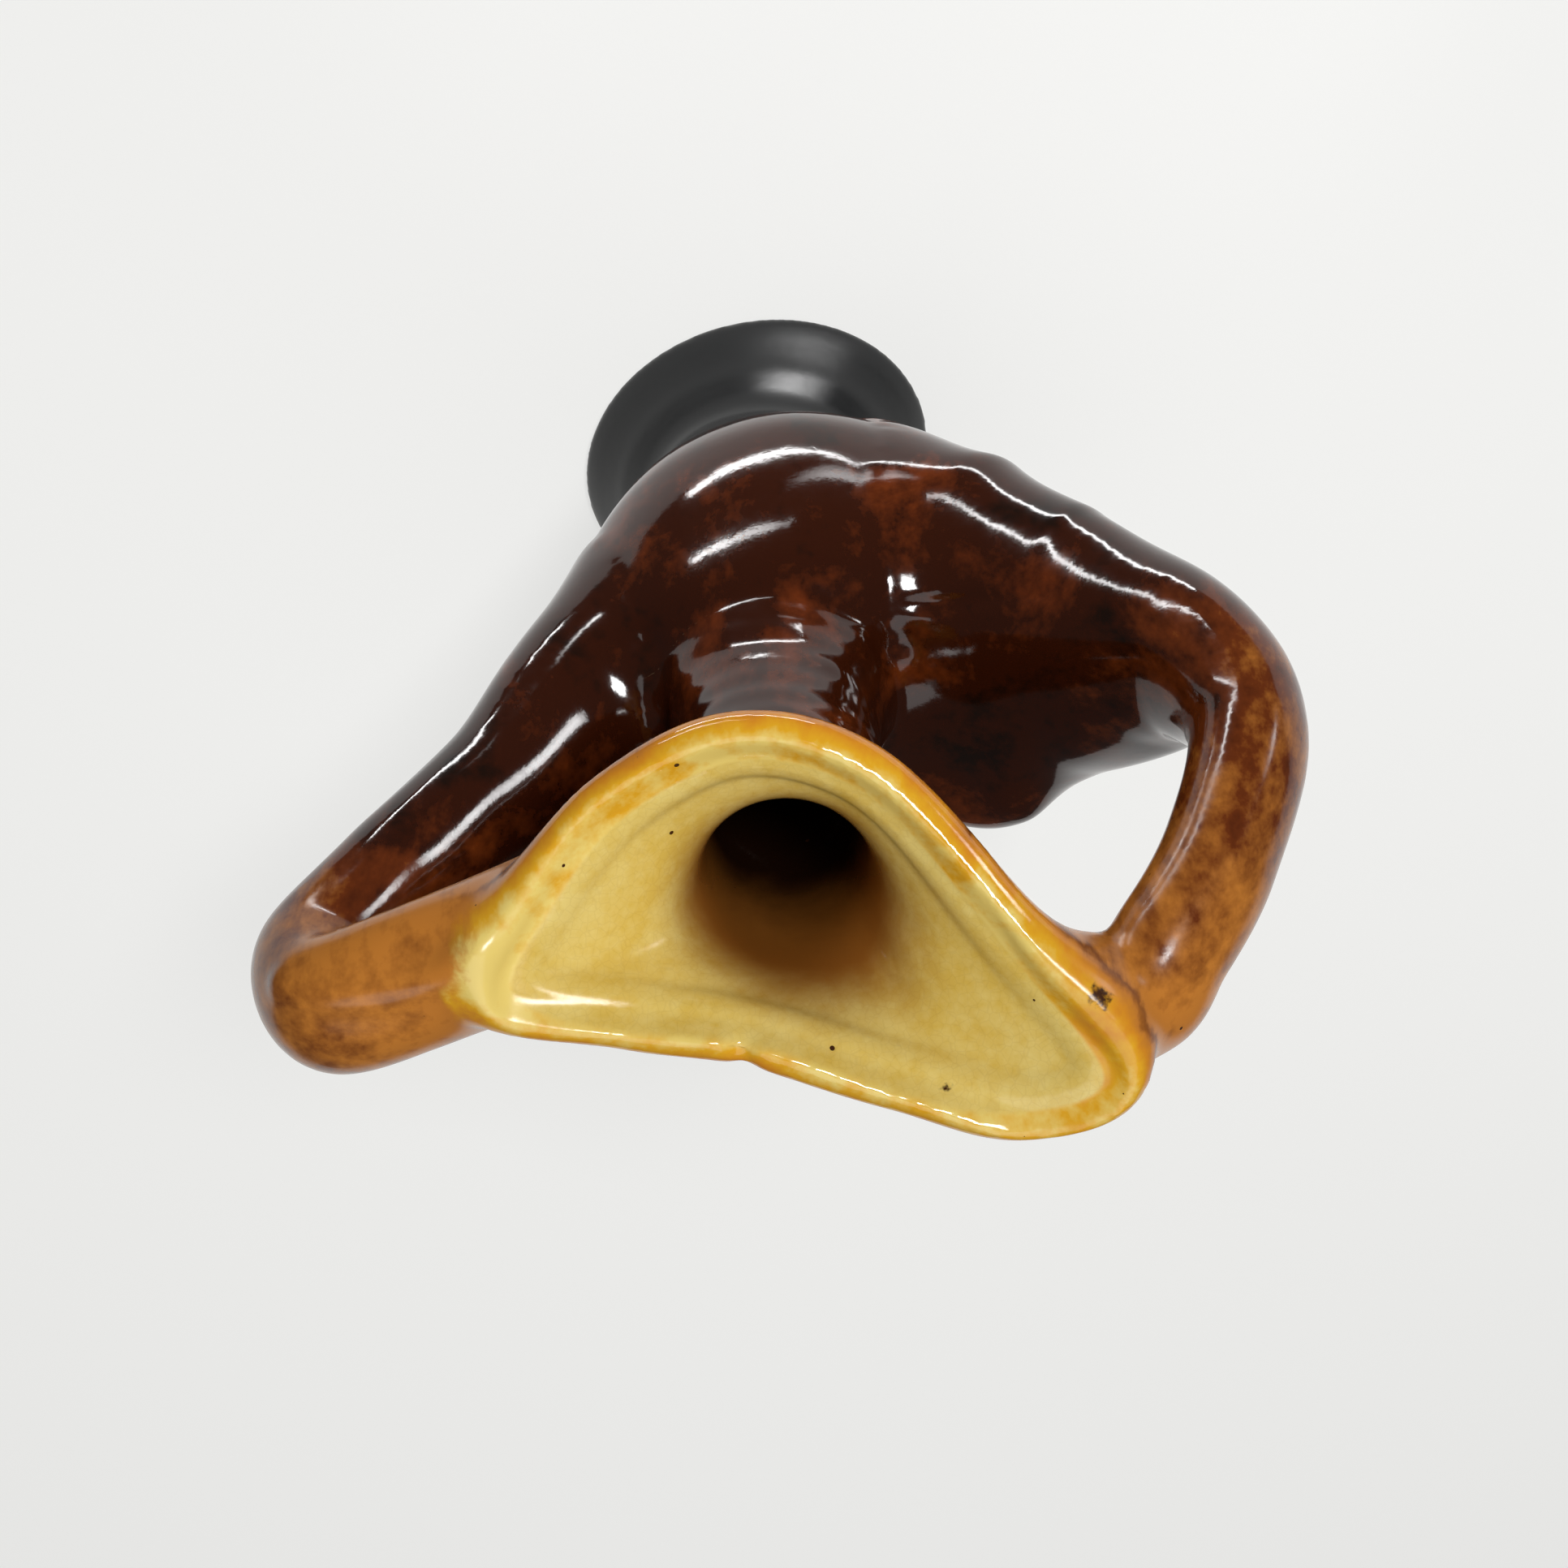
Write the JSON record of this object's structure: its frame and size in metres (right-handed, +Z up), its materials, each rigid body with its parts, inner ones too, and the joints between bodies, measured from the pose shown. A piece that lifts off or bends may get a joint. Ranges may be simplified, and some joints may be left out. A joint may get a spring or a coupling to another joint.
{
  "type": "ceramic vase",
  "caption": "Free-form glazed stoneware vase with a flared foot, swelling body, slim neck, slanted funnel mouth with a thick rim, and looped arms from shoulders to mouth.",
  "frame": {"origin": "middle of the underside of the base slab, on the table", "axes": "+Z up along the vase, -Y towards the low lip of the mouth, +X towards the right arm"},
  "size_m": [0.1883, 0.0892, 0.2212],
  "materials": {
    "black_glaze": "glossy black glaze",
    "brown_glaze": "glossy treacle brown glaze",
    "amber_glaze": "glossy amber brown glaze",
    "honey_glaze": "glossy honey cream glaze with fine crackle",
    "rim_glaze": "glossy yellow glaze"
  },
  "bodies": {
    "root": {"base_slab": "black_glaze", "foot_flare": "black_glaze", "body": "brown_glaze", "neck": "brown_glaze", "mouth_funnel": "honey_glaze", "rim_coil": "rim_glaze", "left_arm": "amber_glaze", "right_arm": "amber_glaze"}
  },
  "joints": []
}
